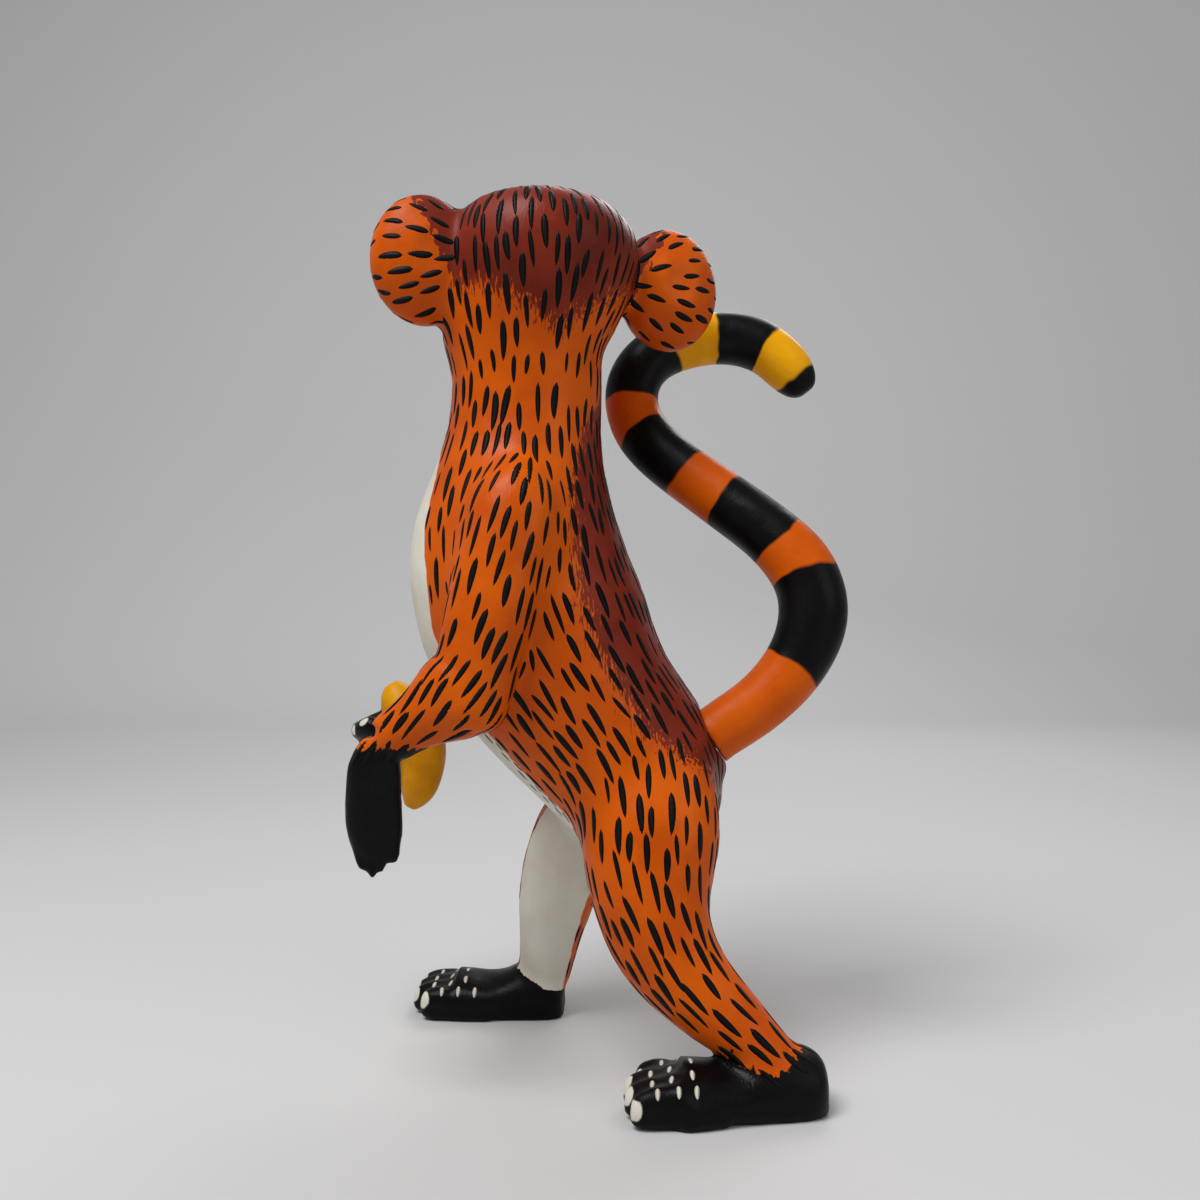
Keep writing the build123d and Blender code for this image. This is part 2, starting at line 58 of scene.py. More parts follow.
tail_aside = 0.045

# Carving: how fine the skin is, and how far the joints between limbs and body are rounded over
skin_grain = 0.0009
carving_passes = 14
blend_rounds = 22
blend_passes = 24
blend_reach = 0.0150
crease_passes = 50
crease_reach = 0.0036
banana_grain = 0.0006
banana_passes = 8
knife_wave = 0.00022
knife_wave_length = 0.016

# Where the joints are rounded over: above the arms, and at the hips behind the hands. Feet and the
# front of the hands keep their fine forms
foot_height = 0.020
hands_front = -0.052
shoulder_height = 0.152
shoulder_fade = 0.026
hip_height = 0.132
hip_front = -0.030
hip_fade = 0.014

# The left hand narrows to its front at both ends: height, and how much of its reach stays
left_fingertips = 0.05
left_wrist = 0.119
left_hand_side = 0.018
hand_back = -0.066
hand_rounding = [(0.068, 0.62), (0.0717, 0.68), (0.075, 0.76), (0.081, 0.88), (0.088, 0.97), (0.096, 1.0),
                 (0.106, 0.96), (0.111, 0.86), (0.115, 0.70), (0.119, 0.62)]

# The round seat under the tail
seat_clearance = 0.0002
seat_swell = 0.0045
deepest_seat = 0.0040
tail_end_depth = 0.0005

# Fur strokes, and the small strokes on the ears and on the edge of the belly's white
stroke_length = 0.0128
stroke_width = 0.00205
stroke_row_gap = 0.0035
stroke_step = 0.0121
ear_stroke_length = 0.0078
ear_stroke_width = 0.0021
ear_stroke_step = 0.0086
ear_stroke_row_gap = 0.0046
belly_stroke_length = 0.0042
belly_stroke_width = 0.0009
belly_stroke_row_gap = 0.0026
lowest_belly_stroke = 0.078
highest_belly_stroke = 0.128
nearest_belly_stroke = 0.0004
farthest_belly_stroke = 0.0040
paint_lift = 0.00013
deepest_bend = 0.000045

# Where the fur strokes stop, and how far from a border or a crease they are small
piece_margin = 0.0016
belly_margin = 0.0008
face_margin = 0.0015
mitt_overlap = 0.0015
lowest_fur = 0.012
belly_fringe = 0.004
crease_fringe = 0.003
ear_fringe_share = 0.93
fur_seed = 7
stroke_seed = 3


def place(aside, back, up):
    """A point measured from the ground below the torso's middle."""
    return np.array((torso_aside + aside, torso_forward + back, up))


def level_way(degrees):
    """A level direction, turned from straight ahead towards the left."""
    turn = math.radians(degrees)
    return np.array((math.sin(turn), -math.cos(turn), 0.0))


up_way = np.array((0.0, 0.0, 1.0))
left_way = np.array((1.0, 0.0, 0.0))
face_way = level_way(math.degrees(head_turn) - 180)
right_ear_way = np.cross(face_way, up_way)
skull = place(0, -0.414 * torso_lean, 0.911 * figure_height)

# Ears: which way each points, and how far the cap's brown is smeared over its root
ears = {"left_ear": (-right_ear_way, 0.0085), "right_ear": (right_ear_way, 0.0030)}
root_depth = 0.0075
pocket_gap = 0.0004
ear_half_width = 0.0175
ear_half_height = 0.0215
hollow_share = 0.865
ear_ray_start = 0.019

# Painted nails: how large, and the height and direction in which each right fingertip is found
nail_reach = 0.0031
nail_height = 0.016
fingernail_reach = 0.0020
right_fingertips = [(0.104, 0.1125, (0.5, -1.0, -0.1)), (0.1125, 0.120, (0.6, -0.8, 0.8))]
right_hand_front = -0.074

# Feet: the ankle above the sole, the way ahead, length, heel behind the ankle, and each toe's reach
foot_width = 0.030
toe_width = 0.0088
toe_spacing = 0.245 * foot_width
toe_root = 0.82
toe_top = 0.018
instep_height = 0.021
sole_height = 0.0035
instep_rounds = 4
instep_passes = 16
feet = {
    "left": (np.array((0.0422, 0.0588, 0.0)), level_way(5), 0.0625, 0.006, (0.98, 1.00, 0.99, 0.90)),
    "right": (np.array((-0.0432, -0.0201, 0.0)), level_way(-3), 0.0575, -0.06, (0.90, 0.99, 1.00, 0.98)),
}
toe_rise = [(0.50, 1.0), (0.56, 1.5), (0.70, 1.52), (0.82, 1.36), (0.90, 1.2)]

# White dots in a row on each toe, from the first one behind its tip
toe_dots = 3
toe_dot_back = 0.0085
toe_dot_gap = 0.0062
toe_dot_rise = 0.0128
toe_dot_aside = 0.0031
toe_dot_length = 0.0046
dot_width = 0.0016

# Lines that run along the body, from the crown, the shoulders, the hips and the tail's seat
spine_line = np.array([
    place(0, lean * torso_lean, height * figure_height)
    for lean, height in ((-0.41, 1.02), (-0.50, 0.76), (-0.566, 0.62), (-0.484, 0.522), (-0.250, 0.443),
                         (0.062, 0.375), (0.380, 0.304), (0.442, 0.210))
])
limb_lines = {
    "torso": spine_line,
    "head": spine_line,
    "left_arm": np.array([(0.033, -0.022, 0.206), (0.0429, -0.0391, 0.1278), (0.0379, -0.0669, 0.1129),
                          (0.0367, -0.0706, 0.072)]),
    "right_arm": np.array([(-0.027, -0.022, 0.206), (-0.0375, -0.0350, 0.1300), (-0.0267, -0.0649, 0.1170),
                           (-0.0260, -0.0758, 0.0964)]),
    "left_leg": np.array([(0.0209, 0.0179, 0.0999), (0.0344, 0.0175, 0.0483), (0.0422, 0.0588, 0.0112)]),
    "right_leg": np.array([(-0.0152, 0.0164, 0.0981), (-0.0328, -0.0131, 0.0602),
                           (-0.0432, -0.0201, 0.0120)]),
}

# Face, on the front of the skull
face_forward = 0.020
face_drop = 0.006
face_half_width = 0.0225
face_half_height = 0.0215
eye_spacing = 0.021
eye_reach = 0.0052
eye_forward = 0.43 * 0.067
muzzle_forward = 0.40 * 0.067
muzzle_drop = 0.42 * 0.027
mouth_drop = 0.0035
mouth_curl = 0.0022
mouth_half_width = 0.012
mouth_line = 0.0006
nose_forward = 0.044
nose_drop = 0.0055
nostril_aside = 0.0024
nostril_length = 0.0034

# Tail: where it leaves its seat, and its middle line in shares of its reach, rise and shift aside
tail_seat = place(0, 0.308 * torso_lean, 0.324 * figure_height)
tail_seat = tail_seat + np.array((0, math.cos(tail_climb), math.sin(tail_climb))) * 0.0268
tail_line = np.array([
    tail_seat + np.array((-aside * tail_aside, back * tail_reach, up * tail_rise))
    for aside, back, up in (
        (0.000, 0.000, 0.000), (0.000, 0.250, 0.043), (0.000, 0.478, 0.084), (0.029, 0.836, 0.183),
        (0.057, 0.986, 0.297), (0.114, 0.881, 0.397), (0.200, 0.603, 0.477), (0.314, 0.275, 0.544),
        (0.429, -0.061, 0.608), (0.571, -0.431, 0.685), (0.743, -0.678, 0.778), (0.857, -0.694, 0.871),
        (0.943, -0.486, 0.947), (1.000, -0.117, 0.988), (1.000, 0.300, 0.999), (0.971, 0.658, 0.974),
        (0.943, 0.850, 0.935), (0.925, 0.990, 0.895), (0.918, 1.070, 0.868), (0.915, 1.110, 0.855),
    )
])


# Paint
def colour(red, green, blue):
    """A paint colour, from 0 to 255 as a screen shows it, in the linear values of a shader."""
    def linear(value):
        share = value / 255
        return share / 12.92 if share <= 0.04045 else ((share + 0.055) / 1.055) ** 2.4
    return (linear(red), linear(green), linear(blue), 1.0)


orange = colour(213, 92, 3)
deep_orange = colour(194, 77, 2)
red_brown = colour(128, 43, 25)
deep_brown = colour(103, 31, 14)
white = colour(224, 220, 208)
warm_white = colour(206, 198, 180)
black = colour(7, 7, 8)
soft_black = colour(15, 15, 15)
ink = colour(8, 8, 9)
soft_ink = colour(16, 15, 16)
yellow = colour(236, 168, 6)
deep_yellow = colour(216, 140, 2)
amber = colour(198, 120, 20)
mouth_red = colour(120, 40, 34)
banana_yellow = colour(222, 154, 6)
banana_ochre = colour(194, 118, 2)
birch = colour(206, 172, 128)
birch_ring = colour(170, 130, 86)


class Wiring:
    """A node tree, with short ways to add and join its nodes."""

    def __init__(self, tree):
        self.tree = tree

    def fill(self, node, inputs):
        """Sets each named or numbered input to a value, or joins it to another node's output."""
        for name, value in inputs.items():
            if isinstance(value, bpy.types.NodeSocket):
                self.tree.links.new(value, node.inputs[name])
            else:
                node.inputs[name].default_value = value
        return node

    def node(self, kind, inputs=None, **settings):
        made = self.tree.nodes.new(kind)
        for key, value in settings.items():
            setattr(made, key, value)
        return self.fill(made, inputs or {})


class Finish(Wiring):
    """A material, built up as a painter lays one coat over another."""

    def __init__(self, name):
        self.material = bpy.data.materials.new(name)
        self.material.use_nodes = True
        super().__init__(self.material.node_tree)
        self.shader = self.tree.nodes["Principled BSDF"]
        self.place = self.node("ShaderNodeTexCoord").outputs["Object"]

    def mark(self, name):
        """A painted zone's attribute: how far inside its border a point of the skin lies."""
        return self.node("ShaderNodeAttribute", attribute_name=name).outputs["Fac"]

    def grain(self, fineness, stretch=(1, 1, 1), detail=3.0, turn=(0, 0, 0)):
        """Noise whose patches are 1 / fineness metres wide, longer where stretch is under 1."""
        mapping = self.node("ShaderNodeMapping", {"Vector": self.place, "Scale": stretch, "Rotation": turn})
        sizes = {"Vector": mapping.outputs["Vector"], "Scale": fineness, "Detail": detail}
        return self.node("ShaderNodeTexNoise", sizes).outputs["Fac"]

    def sum(self, first, second, kind="ADD"):
        return self.node("ShaderNodeMath", {0: first, 1: second}, operation=kind).outputs[0]

    def ramp(self, value, low, high, start=0.0, end=1.0):
        """Turns low to high into start to end, smoothly and no further."""
        ends = {"Value": value, "From Min": low, "From Max": high, "To Min": start, "To Max": end}
        return self.node("ShaderNodeMapRange", ends, interpolation_type="SMOOTHSTEP").outputs["Result"]

    def mix(self, share, first, second):
        return self.node("ShaderNodeMix", {0: share, 6: first, 7: second}, data_type="RGBA").outputs[2]

    def blotched(self, patches, low, high, light, dark):
        """Two tones of one paint, in soft patches."""
        return self.mix(self.ramp(patches, low, high), light, dark)

    def over(self, tint, paint, mark, streaks, reach, blur=0.0003):
        """Paint over a tint inside a mark, whose border is ragged by streaks that reach so far."""
        wander = self.sum(self.sum(streaks, 0.5, "SUBTRACT"), 2 * reach, "MULTIPLY")
        return self.mix(self.ramp(self.sum(self.mark(mark), wander), -blur, blur), tint, paint)

    def relief(self, layers):
        """Bumps, from the first layer's pattern to the last one's, each with its depth."""
        bumps = {"Strength": 1.0}
        for pattern, depth in layers:
            bump = self.node("ShaderNodeBump", {**bumps, "Distance": depth, "Height": pattern})
            bumps["Normal"] = bump.outputs["Normal"]
        self.fill(self.shader, {"Normal": bumps["Normal"]})

    def satin(self, tint, low=0.28, high=0.44):
        """Joins a colour to the shader, with the uneven gloss of brushed acrylic."""
        gloss = self.ramp(self.grain(55, detail=2.0), 0.3, 0.7, low, high)
        self.fill(self.shader, {"Base Color": tint, "Roughness": gloss, "IOR": 1.46,
                                "Specular IOR Level": 0.13})


def brush_relief(finish, along=0.25):
    """The lumps that the knife left, and the fine ridges of the brush."""
    finish.relief([
        (finish.grain(70, detail=2.0), 0.0009),
        (finish.grain(1500, (1, 1, along), 2.0), 0.00009),
    ])


def fur_paint():
    """Orange body colour, brown cap and back, white belly and black hands and feet."""
    coat = Finish("fur_paint")
    patches = coat.grain(45, detail=4.0)
    hairs = coat.grain(1700, (1, 1, 0.09), 4.0)
    back_hairs = coat.grain(1500, (1, 1, 0.11), 4.0, (math.radians(32), 0, 0))
    edge_hairs = coat.grain(420, (1, 1, 0.25), 2.0)
    tint = coat.blotched(patches, 0.3, 0.7, orange, deep_orange)
    brown = coat.blotched(patches, 0.35, 0.7, red_brown, deep_brown)
    pale = coat.blotched(patches, 0.3, 0.75, white, warm_white)
    dark = coat.blotched(patches, 0.4, 0.7, black, soft_black)
    tint = coat.over(tint, brown, "cap", hairs, 0.015, 0.0014)
    tint = coat.over(tint, brown, "spine", back_hairs, 0.013, 0.0013)
    for paint, mark, reach in ((pale, "belly", 0.0012), (pale, "face", 0.0015), (dark, "mitt", 0.0032),
                               (pale, "nail", 0.0008), (mouth_red, "mouth", 0.0002)):
        tint = coat.over(tint, paint, mark, edge_hairs, reach)
    eye = coat.mark("eye")
    for paint, low, high in ((black, 0.0, 0.0003), (white, 0.0010, 0.0012), (amber, 0.0019, 0.0021),
                             (black, 0.0032, 0.0034)):
        tint = coat.mix(coat.ramp(eye, low, high), tint, paint)
    coat.satin(tint)
    brush_relief(coat)
    return coat.material


def ear_paint():
    """Orange outside, brown by the root, and a pale hollow."""
    coat = Finish("ear_paint")
    patches = coat.grain(45, detail=4.0)
    hairs = coat.grain(420, (1, 1, 0.4), 3.0)
    tint = coat.blotched(patches, 0.3, 0.7, orange, deep_orange)
    brown = coat.blotched(patches, 0.35, 0.7, red_brown, deep_brown)
    pale = coat.blotched(patches, 0.3, 0.75, white, warm_white)
    tint = coat.over(tint, brown, "root", hairs, 0.008)
    coat.satin(coat.over(tint, pale, "hollow", hairs, 0.0008))
    brush_relief(coat, 1.0)
    return coat.material


def tail_paint(bands):
    """Bands of colour, each from its distance along the tail to the next one's."""
    coat = Finish("tail_paint")
    patches = coat.grain(45, detail=4.0)
    wobble = coat.sum(coat.sum(coat.grain(60, detail=2.0), 0.5, "SUBTRACT"), 0.006, "MULTIPLY")
    along = coat.sum(coat.mark("along"), wobble)
    tints = {
        "orange": coat.blotched(patches, 0.3, 0.7, orange, deep_orange),
        "black": coat.blotched(patches, 0.4, 0.7, black, soft_black),
        "yellow": coat.blotched(patches, 0.3, 0.7, yellow, deep_yellow),
    }
    blur = 0.0007
    tint = tints[bands[0][1]]
    for start, name in bands[1:]:
        tint = coat.mix(coat.ramp(along, start - blur, start + blur), tint, tints[name])
    coat.satin(tint, 0.3, 0.46)
    brush_relief(coat, 1.0)
    return coat.material


def plain_paint(name, light, dark, low=0.28, high=0.44):
    """One paint, a little uneven."""
    coat = Finish(name)
    coat.satin(coat.blotched(coat.grain(60, detail=4.0), 0.32, 0.7, light, dark), low, high)
    brush_relief(coat, 1.0)
    return coat.material


def bare_wood():
    """Pale turned wood, with its rings and fibres."""
    wood = Finish("bare_wood")
    fibres = wood.grain(500, (1, 1, 0.1), 4.0)
    tint = wood.blotched(wood.grain(120, (1, 1, 0.2), 2.0), 0.35, 0.65, birch, birch_ring)
    tint = wood.mix(wood.ramp(fibres, 0.5, 0.8, 0.0, 0.5), tint, birch_ring)
    wood.fill(wood.shader, {"Base Color": tint, "Roughness": wood.ramp(fibres, 0.3, 0.7, 0.6, 0.75)})
    wood.relief([(fibres, 0.00008)])
    return wood.material


# Objects and meshes
def placed(name, data):
    """A new object in the scene, for a mesh, a lamp or a camera."""
    made = bpy.data.objects.new(name, data)
    bpy.context.scene.collection.objects.link(made)
    return made


def mesh_of(form, name):
    """A finished mesh from an edited form."""
    mesh = bpy.data.meshes.new(name)
    form.to_mesh(mesh)
    form.free()
    return mesh


def shade_smooth(mesh):
    for polygon in mesh.polygons:
        polygon.use_smooth = True


def read_vectors(layer, field):
    """The vectors of a mesh's layer, as an array with a row for each point."""
    values = np.zeros(len(layer) * 3, np.float32)
    layer.foreach_get(field, values)
    return values.reshape(-1, 3)


def read_points(mesh):
    return read_vectors(mesh.vertices, "co").astype(float)


def read_normals(mesh):
    return read_vectors(mesh.vertex_normals, "vector").astype(float)


def write_points(mesh, points):
    mesh.vertices.foreach_set("co", points.astype(np.float32).ravel())
    mesh.update()


def write_mark(mesh, name, values):
    """Keeps a number or a vector for each point of the mesh under a name."""
    values = np.asarray(values, np.float32)
    kind, field = ("FLOAT_VECTOR", "vector") if values.ndim > 1 else ("FLOAT", "value")
    mesh.attributes.new(name, kind, "POINT").data.foreach_set(field, values.ravel())


# Carving
class Neighbours:
    """Averages over the points that edges join to a point."""

    def __init__(self, mesh):
        pairs = np.zeros(len(mesh.edges) * 2, np.int32)
        mesh.edges.foreach_get("vertices", pairs)
        pairs = pairs.reshape(-1, 2)
        self.start = np.concatenate([pairs[:, 0], pairs[:, 1]])
        self.end = np.concatenate([pairs[:, 1], pairs[:, 0]])
        self.count = len(mesh.vertices)
        self.degree = np.maximum(np.bincount(self.start, minlength=self.count), 1)

    def mean(self, values):
        if values.ndim == 1:
            return np.bincount(self.start, values[self.end], self.count) / self.degree
        return np.stack([self.mean(values[:, axis]) for axis in range(values.shape[1])], axis=1)

    def smooth(self, values, passes, share=0.5, weight=None):
        """Moves values towards their neighbours' mean, only as far as the weight lets each point."""
        step = share if weight is None else share * weight
        if values.ndim > 1 and weight is not None:
            step = step[:, None]
        for _ in range(passes):
            values = values + (self.mean(values) - values) * step
        return values

    def fill(self, points, normals, passes, weight):
        """Fills hollows between forms: moves outwards freely, and inwards only a little."""
        for _ in range(passes):
            step = self.mean(points) - points
            inwards = np.sum(step * normals, axis=1) < 0
            points = points + step * (weight * np.where(inwards, 0.12, 0.5))[:, None]
        return points

    def sand(self, points, passes):
        """Smooths a form and keeps its girth, with a push outwards after each pass inwards."""
        for _ in range(passes):
            points = points + (self.mean(points) - points) * 0.5
            points = points - (self.mean(points) - points) * 0.52
        return points


def grown_root(name):
    """A copy of an ear's mesh that fills its pocket in the head."""
    mesh = nodes[name].data.copy()
    ear_points = read_points(mesh)
    reach = ear_points @ ears[name][0]
    near_root = reach < reach.min() + root_depth
    ear_points[near_root] += read_normals(mesh)[near_root] * pocket_gap
    write_points(mesh, ear_points)
    return mesh


def carved(name, members, grain):
    """The named pieces as one closed skin of small even faces, without the hidden hollows."""
    form = bmesh.new()
    for member in members:
        form.from_mesh(grown_root(member) if member in ears else nodes[member].data)
    rough = placed(name, mesh_of(form, name))
    remesh = rough.modifiers.new("even_faces", "REMESH")
    remesh.mode = "VOXEL"
    remesh.voxel_size = grain
    remesh.adaptivity = 0.0
    shaped = bpy.data.meshes.new_from_object(rough.evaluated_get(bpy.context.evaluated_depsgraph_get()))
    bpy.data.objects.remove(rough)
    form = bmesh.new()
    form.from_mesh(shaped)
    drop_small_shells(form)
    form.to_mesh(shaped)
    form.free()
    return shaped


def drop_small_shells(form):
    """Keeps the largest joined shell of a mesh: the others line hollows inside the wood."""
    form.verts.ensure_lookup_table()
    seen = np.zeros(len(form.verts), bool)
    shells = []
    for first in form.verts:
        if seen[first.index]:
            continue
        seen[first.index] = True
        shell = [first]
        for vert in shell:
            for edge in vert.link_edges:
                other = edge.other_vert(vert)
                if not seen[other.index]:
                    seen[other.index] = True
                    shell.append(other)
        shells.append(shell)
    shells.sort(key=len)
    for shell in shells[:-1]:
        bmesh.ops.delete(form, geom=shell, context="VERTS")


def tree_of(name):
    """A search tree over a CAD piece's faces."""
    mesh = nodes[name].data
    points = [vertex.co.copy() for vertex in mesh.vertices]
    faces = [tuple(polygon.vertices) for polygon in mesh.polygons]
    return BVHTree.FromPolygons(points, faces)


def distance_to(tree, points, reach=0.05):
    """How far each point is from a piece, and no more than reach."""
    found = np.full(len(points), reach)
    for index, point in enumerate(points):
        distance = tree.find_nearest(point, reach)[3]
        if distance is not None:
            found[index] = distance
    return found


def along_line(line, points):
    """For each point the nearest place on a line: its share in segments, and the place itself."""
    best = np.full(len(points), np.inf)
    share = np.zeros(len(points))
    foot = np.zeros((len(points), 3))
    for index in range(len(line) - 1):
        step = line[index + 1] - line[index]
        reach = np.clip((points - line[index]) @ step / (step @ step), 0, 1)
        place_on = line[index] + reach[:, None] * step
        gap = np.linalg.norm(points - place_on, axis=1)
        nearer = gap < best
        best[nearer] = gap[nearer]
        share[nearer] = index + reach[nearer]
        foot[nearer] = place_on[nearer]
    return share, foot


def way_along(line, points, softness=0.012):
    """The line's direction beside each point, turning gently from segment to segment."""
    total = np.zeros((len(points), 3))
    steps = np.diff(line, axis=0)
    gaps = []
    for start, step in zip(line, steps):
        reach = np.clip((points - start) @ step / (step @ step), 0, 1)
        gaps.append(np.linalg.norm(points - start - reach[:, None] * step, axis=1))
    nearest = np.min(gaps, axis=0)
    for gap, step in zip(gaps, steps):
        weight = np.exp(-((gap - nearest) / softness) ** 2 * 2)
        total += weight[:, None] * step / np.linalg.norm(step)
    return unit(total)


def unit(vectors):
    return vectors / np.maximum(np.linalg.norm(vectors, axis=-1, keepdims=True), 1e-9)


def girth_angle(line, points, share, foot):
    """The angle round the body from the middle of the back, and the distance from its middle."""
    index = np.minimum(share.astype(int), len(line) - 2)
    way = unit(np.diff(line, axis=0))[index]
    back = np.cross(np.broadcast_to(left_way, way.shape), way)
    offset = points - foot
    angle = np.arctan2(offset @ left_way, np.sum(offset * back, axis=1))
    return angle, np.linalg.norm(offset, axis=1)


# Where the brown of the back and the white of the belly end: height on the spine's line, then the
# angle from the middle of the back or of the belly
spine_border = [(0.062, -30), (0.072, 0), (0.079, 28), (0.088, 48), (0.098, 60), (0.109, 68), (0.122, 65),
                (0.132, 65), (0.158, 59), (0.178, 57), (0.195, 54), (0.204, 50), (0.221, 31), (0.229, 8),
                (0.240, -40)]
belly_border = [(0.060, 88), (0.075, 70), (0.085, 49), (0.095, 37), (0.110, 31), (0.130, 33), (0.155, 35),
                (0.172, 36), (0.190, 33), (0.200, 25), (0.208, 10), (0.216, -20), (0.240, -60)]
lowest_brown = 0.086
cap_tip_height = 0.245
cap_side_rise = 0.0205
hairline_rise = 0.022
cap_tip_turn = math.radians(4)
cap_side_turn = math.radians(42)
hairline_start = math.radians(95)
hairline_turn = math.radians(55)

# Where the black of hands and feet ends: for each foot the depth, then the border's height
wrist_height = 0.1115
ankle_radius = 0.0122
ankle_height = 0.0225
ankle_borders = {
    "left": [(0.030, 0.0185), (0.0435, 0.0170), (0.0525, 0.0128), (0.066, 0.0205)],
    "right": [(-0.036, 0.0200), (-0.0285, 0.0175), (-0.020, 0.0125), (-0.011, 0.0098)],
}


def from_table(table, at):
    """A table's second column at each value of its first, straight from row to row."""
    rows = np.array(table)
    return np.interp(at, rows[:, 0], rows[:, 1])


def cap_mark(points):
    """How far a point lies above the cap's lower border."""
    offset = points - skull
    turn = np.arctan2(offset @ right_ear_way, -(offset @ face_way))
    away = np.abs(turn + cap_tip_turn)
    rise = cap_side_rise * (1 - np.exp(-away / cap_side_turn))
    front = np.clip((away - hairline_start) / hairline_turn, 0, 1)
    return points[:, 2] - (cap_tip_height + rise + hairline_rise * front * front * (3 - 2 * front))


def leg_white(line, points, inner, spread):
    """How far a point lies inside the white of a leg's inner side."""
    _, foot = along_line(line, points)
    offset = points - foot
    angle = np.arccos(np.clip(unit(offset) @ inner, -1, 1))
    return (math.radians(spread) - angle) * np.linalg.norm(offset, axis=1)


def oval_mark(points, centre, across_way, half_width, half_height):
    """How far a point lies inside an oval on the front of the face."""
    offset = points - centre
    across = offset @ across_way / half_width
    rise = offset[:, 2] / half_height
    inside = (1 - np.sqrt(across**2 + rise**2)) * min(half_width, half_height)
    behind = offset @ face_way < 0
    inside[behind] = np.minimum(inside[behind], -half_width)
    return inside


# Fur strokes
def unit_stroke(name, bend, point_share):
    """A brush stroke 1 long and 1 wide: rounded at its start, pointed at its end, and closed."""
    steps = 8
    form = bmesh.new()
    start = form.verts.new((-0.5, 0, 0))
    rings = []
    for step in range(1, steps):
        share = step / steps
        half = 0.5 * math.sin(math.pi * share ** point_share) ** 0.55
        place_along = share - 0.5
        middle = bend * (1 - 4 * place_along * place_along)
        lift = 1.0 if 1 < step < steps - 1 else 0.8
        rings.append([
            form.verts.new((place_along, middle - half, 0)),
            form.verts.new((place_along, middle, lift)),
            form.verts.new((place_along, middle + half, 0)),
            form.verts.new((place_along, middle, -1)),
        ])
    end = form.verts.new((0.5, 0, 0))
    for side in range(4):
        after = (side + 1) % 4
        form.faces.new((start, rings[0][after], rings[0][side]))
        form.faces.new((end, rings[-1][side], rings[-1][after]))
        for first, second in zip(rings, rings[1:]):
            form.faces.new((first[side], first[after], second[after], second[side]))
    bmesh.ops.recalc_face_normals(form, faces=form.faces)
    mesh = mesh_of(form, name)
    write_mark(mesh, "lift", [vertex.co.z for vertex in mesh.vertices])
    for vertex in mesh.vertices:
        vertex.co.z = 0
    return placed(name, mesh)


def stroke_tree(kinds):
    """Lays a stroke of paint on the skin at each point, along that point's direction."""
    tree = bpy.data.node_groups.new("paint_strokes", "GeometryNodeTree")
    for label, kind in (("Geometry", "NodeSocketGeometry"), ("Skin", "NodeSocketObject"),
                        ("Paint lift", "NodeSocketFloat"), ("Paint sink", "NodeSocketFloat"),
                        ("Seed", "NodeSocketInt"), ("Paint", "NodeSocketMaterial")):
        tree.interface.new_socket(name=label, in_out="INPUT", socket_type=kind)
    tree.interface.new_socket(name="Geometry", in_out="OUTPUT", socket_type="NodeSocketGeometry")
    node = Wiring(tree).node

    def named(label, kind="FLOAT"):
        return node("GeometryNodeInputNamedAttribute", {"Name": label}, data_type=kind).outputs["Attribute"]

    given = node("NodeGroupInput").outputs
    choice = node("GeometryNodeJoinGeometry")
    for kind in kinds:
        info = node("GeometryNodeObjectInfo", {"Object": kind, "As Instance": True})
        tree.links.new(info.outputs["Geometry"], choice.inputs["Geometry"])
    turn = node("FunctionNodeAxesToRotation", {"Primary Axis": named("outward", "FLOAT_VECTOR"),
                                               "Secondary Axis": named("stroke_way", "FLOAT_VECTOR")},
                primary_axis="Z", secondary_axis="X")
    size = node("ShaderNodeCombineXYZ", {"X": named("stroke_length"), "Y": named("stroke_width"), "Z": 1.0})
    pick = node("FunctionNodeRandomValue", {"Min": 0, "Max": len(kinds) - 1, "Seed": given["Seed"]},
                data_type="INT")
    lay = node("GeometryNodeInstanceOnPoints", {
        "Points": given["Geometry"], "Instance": choice.outputs["Geometry"], "Pick Instance": True,
        "Instance Index": pick.outputs["Value"], "Rotation": turn.outputs["Rotation"],
        "Scale": size.outputs["Vector"]})
    real = node("GeometryNodeRealizeInstances", {"Geometry": lay.outputs["Instances"]})
    skin = node("GeometryNodeObjectInfo", {"Object": given["Skin"]}).outputs["Geometry"]
    near = node("GeometryNodeProximity", {0: skin}, target_element="FACES")
    normal = node("GeometryNodeInputNormal").outputs["Normal"]
    facing = node("GeometryNodeSampleNearestSurface", {"Mesh": skin, "Value": normal},
                  data_type="FLOAT_VECTOR")
    height = node("ShaderNodeMapRange", {"Value": named("lift"), "From Min": -1.0, "From Max": 1.0,
                                         "To Min": given["Paint sink"], "To Max": given["Paint lift"]})
    push = node("ShaderNodeVectorMath", {0: facing.outputs["Value"], "Scale": height.outputs["Result"]},
                operation="SCALE")
    target = node("ShaderNodeVectorMath", {0: near.outputs["Position"], 1: push.outputs["Vector"]},
                  operation="ADD")
    move = node("GeometryNodeSetPosition", {"Geometry": real.outputs["Geometry"],
                                            "Position": target.outputs["Vector"]})
    even = node("GeometryNodeSetShadeSmooth", {"Geometry": move.outputs["Geometry"]})
    finish = node("GeometryNodeSetMaterial", {"Geometry": even.outputs["Geometry"],
                                              "Material": given["Paint"]})
    node("NodeGroupOutput", {"Geometry": finish.outputs["Geometry"]})
    return tree


